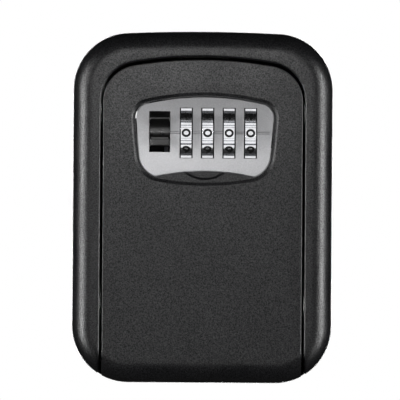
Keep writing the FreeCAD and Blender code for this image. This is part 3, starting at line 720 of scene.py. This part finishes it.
@dataclass
class NumberWheel:
    """One chromed number wheel with ten painted digits in relief on its pads.

    Attributes:
        number: place of the wheel, counted from the left.
        radius_mm: radius of the pads.
        digit_width_mm: width of a digit, along the shaft.
        digit_height_mm: height of a digit, round the rim.
        pen_mm: width of the painted stroke.
        paint_mm: height of the paint over the pad.
        overrun: how far an open stroke runs past its two ends, as a share of the pen's width.
        pitch_degrees: turn from one digit to the next.
        arc_points: points along an arc.
        line_points: points along a line.
    """

    number: int
    radius_mm: float = 9.2
    digit_width_mm: float = 3.0
    digit_height_mm: float = 2.75
    pen_mm: float = 0.7
    paint_mm: float = 0.008
    overrun: float = 0.4
    pitch_degrees: float = 36.0
    arc_points: int = 33
    line_points: int = 5

    def centre(self) -> Vector:
        """Give the middle of the wheel."""
        low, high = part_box(f"number_wheel_{self.number}")
        return (low + high) / 2

    def stroke_line(self, stroke: tuple) -> np.ndarray:
        """Points along the middle of a stroke, in millimetres, across and up.

        Args:
            stroke: kind and numbers of the stroke, on a box 1 wide and 1 high.

        Returns:
            Points by number and axis.
        """
        kind, *numbers = stroke
        wide = self.digit_width_mm - self.pen_mm
        high = self.digit_height_mm - self.pen_mm
        share = np.linspace(0, 1, self.arc_points if kind is Stroke.ARC else self.line_points)
        if kind is Stroke.ARC:
            x, y, radius_x, radius_y, start, sweep = numbers
            turn = np.radians(start + sweep * share)
            line = np.stack([x + radius_x * np.cos(turn), y + radius_y * np.sin(turn)], axis=1)
        else:
            x0, y0, x1, y1 = numbers
            line = np.stack([x0 + (x1 - x0) * share, y0 + (y1 - y0) * share], axis=1)
        return line * [wide, high]

    def painted(self, line: np.ndarray, closed: bool, turn: float, centre: Vector) -> np.ndarray:
        """Carry the pen's profile along a stroke, and wrap it round the rim.

        The profile is a low arch of five points. Its two edges lie just under the pad's surface,
        and its middle stands the paint's height over it. A point a across and b up goes to x = a and
        the angle b / radius round the rim, at the rim's radius plus the arch's height.

        Args:
            line: points along the stroke, in millimetres.
            closed: whether the stroke ends where it starts.
            turn: angle round the shaft of the digit's middle, in radians.
            centre: middle of the wheel, in metres.

        Returns:
            Grid of points, by place on the stroke, place on the profile and axis.
        """
        if closed:
            ahead = np.roll(line[:-1], -1, axis=0) - np.roll(line[:-1], 1, axis=0)
            line = line[:-1]
        else:
            ahead = np.gradient(line, axis=0)
        ahead /= np.linalg.norm(ahead, axis=1, keepdims=True)
        side = np.stack([-ahead[:, 1], ahead[:, 0]], axis=1)
        if not closed:
            line = line.copy()
            line[0] -= ahead[0] * self.pen_mm * self.overrun
            line[-1] += ahead[-1] * self.pen_mm * self.overrun
        across = PEN_ACROSS * self.pen_mm
        height = PEN_HEIGHT * self.paint_mm
        flat = line[:, None, :] + across[None, :, None] * side[:, None, :]
        radius = self.radius_mm + np.broadcast_to(height, flat.shape[:2])
        angle = turn - flat[..., 1] / self.radius_mm
        return np.stack(
            [
                centre.x + flat[..., 0] * MM,
                centre.y + radius * np.cos(angle) * MM,
                centre.z + radius * np.sin(angle) * MM,
            ],
            axis=-1,
        )

    def build(self) -> bpy.types.Object:
        """Make the chromed wheel and its digits."""
        body = f"wheel_{self.number}"
        node = f"number_wheel_{self.number}"
        wheel = CastPiece(node, body, "chrome", CHROME, edge_mm=0.1, sharp_degrees=32.0).build()
        centre = self.centre()
        work = bmesh.new()
        for digit, strokes in DIGITS.items():
            turn = math.pi - math.radians(self.pitch_degrees) * digit
            for index, stroke in enumerate(strokes):
                line = self.stroke_line(stroke)
                closed = stroke[0] is Stroke.ARC and abs(stroke[-1]) == 360
                points = self.painted(line, closed, turn, centre)
                part = grid_mesh("stroke", points, closed, True)
                work.from_mesh(part)
                bpy.data.meshes.remove(part)
        mesh = bpy.data.meshes.new(f"digits_{self.number}")
        work.to_mesh(mesh)
        work.free()
        close_ends(mesh)
        new_piece(f"digits_{self.number}", mesh, body, DIGIT_PAINT)
        return wheel


# ---------------------------------------------------------------- stage


class Reach(Enum):
    """Which pieces a softbox lights, as black cards in a studio shade the others."""

    ALL = "all"
    COAT = "coat"
    PANEL = "panel"
    WHEELS = "wheels"


@dataclass(frozen=True)
class SoftBox:
    """One softbox of the studio.

    Attributes:
        name: name of the light.
        place: middle of the softbox, in metres.
        size: width and height, in metres.
        power: in watts.
        target: point that it faces, in metres.
        reach: pieces that it lights.
    """

    name: str
    place: tuple[float, float, float]
    size: tuple[float, float]
    power: float
    target: tuple[float, float, float] = (0.0, -0.037, 0.0)
    reach: Reach = Reach.ALL

    def build(self, groups: dict[Reach, bpy.types.Collection]) -> None:
        """Hang the softbox, hidden from the camera's own rays.

        Args:
            groups: pieces that each limited reach takes in.
        """
        light = bpy.data.lights.new(self.name, "AREA")
        light.shape = "RECTANGLE"
        light.size, light.size_y = self.size
        light.energy = self.power
        holder = bpy.data.objects.new(self.name, light)
        bpy.context.scene.collection.objects.link(holder)
        holder.location = self.place
        facing = Vector(self.target) - Vector(self.place)
        holder.rotation_euler = facing.to_track_quat("-Z", "Y").to_euler()
        holder.visible_camera = False
        if self.reach is not Reach.ALL:
            holder.light_linking.receiver_collection = groups[self.reach]


SOFT_BOXES = [
    SoftBox("near front", (-0.01, -0.30, 0.105), (0.16, 0.04), 0.15, (0, -0.037, 0.03), Reach.COAT),
    SoftBox("front", (-0.09, -1.35, 0.03), (0.24, 0.24), 1.3, reach=Reach.COAT),
    SoftBox("panel card", (-0.17, -0.55, -0.13), (0.35, 0.20), 1.15, (0, -0.037, 0.024), Reach.PANEL),
    SoftBox("panel upper card", (-0.22, -0.55, 0.20), (0.35, 0.10), 0.2, (0, -0.037, 0.024), Reach.PANEL),
    SoftBox("wheel card", (0, -0.40, 0.0), (0.50, 1.2), 2.05, (0, -0.037, 0.024), Reach.WHEELS),
    SoftBox("left strip", (-0.62, -0.325, 0.0), (0.075, 0.5), 4.9),
    SoftBox("right strip", (0.62, -0.325, 0.0), (0.075, 0.5), 4.9),
    SoftBox("behind", (0, 1.2, 0.0), (0.8, 0.6), 22.0, (0, 0, 0)),
]


@dataclass
class Stage:
    """Pale floor and surroundings, soft studio lights and the camera.

    Attributes:
        distance: from the camera to the widest part of the case, in metres.
        field: height of the picture's field at that distance, in metres.
        aim: the point in the middle of the picture, right and up from the origin, in metres.
        roll_degrees: turn of the camera about its own view.
        widest_depth: from the shell's front back to its widest part, in metres.
        floor_gap: from the bottom of the box down to the floor, in metres.
        floor_reach: from the middle of the floor to its edges, in metres.
        floor_points: points of the floor's mesh along each edge.
        fill: strength of the surroundings' light on the box.
    """

    distance: float = 1.4
    field: float = 0.1311
    aim: tuple[float, float] = (-0.0008, 0.00236)
    roll_degrees: float = -0.4
    widest_depth: float = 0.0068
    floor_gap: float = 1.0
    floor_reach: float = 3.0
    floor_points: int = 9
    fill: float = 0.006

    def pale_to_camera(
        self, tree: bpy.types.NodeTree, seen: bpy.types.Node, other: bpy.types.Node
    ) -> bpy.types.Node:
        """Mix two shaders by the kind of ray.

        Args:
            tree: node tree that holds both.
            seen: shader for the camera's own rays.
            other: shader for the rays that light the box.

        Returns:
            The mixing node.
        """
        from_camera = add(tree, "LightPath").outputs["Is Camera Ray"]
        return add(tree, "MixShader", {0: from_camera, 1: other.outputs[0], 2: seen.outputs[0]})

    def surroundings(self) -> None:
        """White surroundings that light the box only a little."""
        world = bpy.data.worlds.new("pale studio")
        bpy.context.scene.world = world
        world.use_nodes = True
        tree = world.node_tree
        tree.nodes.clear()
        seen = add(tree, "Background", {"Color": (1, 1, 1, 1), "Strength": 1.0})
        dim = add(tree, "Background", {"Color": (1, 1, 1, 1), "Strength": self.fill})
        add(tree, "OutputWorld", {"Surface": self.pale_to_camera(tree, seen, dim).outputs[0]})

    def floor(self, height: float) -> None:
        """Flat pale floor below the box."""
        side = np.linspace(-self.floor_reach, self.floor_reach, self.floor_points)
        x, y = np.meshgrid(side, side, indexing="ij")
        mesh = grid_mesh("floor", np.stack([x, y, np.full_like(x, height)], axis=-1), False, False)
        material = bpy.data.materials.new("pale studio floor")
        material.use_nodes = True
        tree = material.node_tree
        tree.nodes.clear()
        seen = add(tree, "Emission", {"Color": (1, 1, 1, 1), "Strength": 1.0})
        matt = add(tree, "BsdfDiffuse", {"Color": (0.05, 0.05, 0.05, 1)})
        add(tree, "OutputMaterial", {"Surface": self.pale_to_camera(tree, seen, matt).outputs[0]})
        mesh.materials.append(material)
        floor = bpy.data.objects.new("floor", mesh)
        bpy.context.scene.collection.objects.link(floor)
        floor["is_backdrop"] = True

    def light_groups(self) -> dict[Reach, bpy.types.Collection]:
        """Gather the pieces that some of the softboxes light alone.

        Returns:
            A collection of pieces for each limited reach.
        """
        starts = {
            Reach.COAT: ("shell", "door", "open_button", "inner_cover", "cover_screws"),
            Reach.PANEL: ("dial_panel",),
            Reach.WHEELS: ("number_wheel",),
        }
        groups = {}
        for reach, names in starts.items():
            groups[reach] = bpy.data.collections.new(reach.value)
            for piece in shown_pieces():
                if piece.name.startswith(names):
                    groups[reach].objects.link(piece)
        return groups

    def camera(self) -> None:
        """Camera straight in front of the box."""
        data = bpy.data.cameras.new("camera")
        holder = bpy.data.objects.new("camera", data)
        bpy.context.scene.collection.objects.link(holder)
        widest_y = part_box("shell")[0].y + self.widest_depth
        holder.location = (self.aim[0], widest_y - self.distance, self.aim[1])
        holder.rotation_euler = (math.pi / 2, math.radians(self.roll_degrees), 0)
        data.lens = data.sensor_width * self.distance / self.field
        bpy.context.scene.camera = holder

    def build(self) -> None:
        """Make the floor, the surroundings, the lights and the camera."""
        bpy.context.scene.view_settings.view_transform = "Standard"
        self.surroundings()
        self.floor(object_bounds()[0].z - self.floor_gap)
        self.camera()
        groups = self.light_groups()
        for box in SOFT_BOXES:
            box.build(groups)


def main() -> None:
    """Build the box from the case inwards, then the stage."""
    coated = dict(slot="powder_coat", finish=POWDER_COAT)
    pieces = [
        CastPiece("shell", "case", edge_mm=0.1, **coated),
        CastPiece("door", "door", edge_mm=0.15, **coated),
        CastPiece("dial_panel", "door", "satin_silver", SATIN_SILVER, 0.22),
        CastPiece("open_button", "latch", "black_plastic", BLACK_PLASTIC, 0.1),
        CastPiece("reset_lever", "reset", "black_plastic", BLACK_PLASTIC, 0.1),
        CastPiece("lock_housing", "door", "bare_zinc", BARE_ZINC, 0.15),
        CastPiece("latch_bolt", "latch", "black_oxide", BLACK_OXIDE, 0.12),
        CastPiece("inner_cover", "door", "dark_coat", DARK_ENAMEL, 0.12),
        CastPiece("cover_screws", "door", "plated_steel", ZINC_PLATE, 0.06),
        CastPiece("hinge_pins", "door", "black_oxide", BLACK_OXIDE, 0.05),
        CastPiece("wheel_shaft", "door", "plated_steel", ZINC_PLATE, 0.05),
        CastPiece("detent_spring", "door", "spring_steel", SPRING_STEEL, 0.03),
        WireSpring("bolt_spring", 2, 6.0, "latch_slide", anchored_high=False, keep=0.71),
        WireSpring("sleeve_spring", 0, 4.0, "reset_slide", anchored_high=True, keep=0.65),
    ]
    places = range(1, 5)
    pieces += [
        CastPiece(f"code_sleeve_{n}", f"sleeve_{n}", "black_oxide", BLACK_OXIDE, 0.06) for n in places
    ]
    pieces += [NumberWheel(n) for n in places]
    for piece in pieces:
        made = piece.build()
        LOG.info("built %s", made.name)
    Stage().build()


if __name__ == "__main__":
    logging.basicConfig(level=logging.INFO, format="%(message)s")
    main()
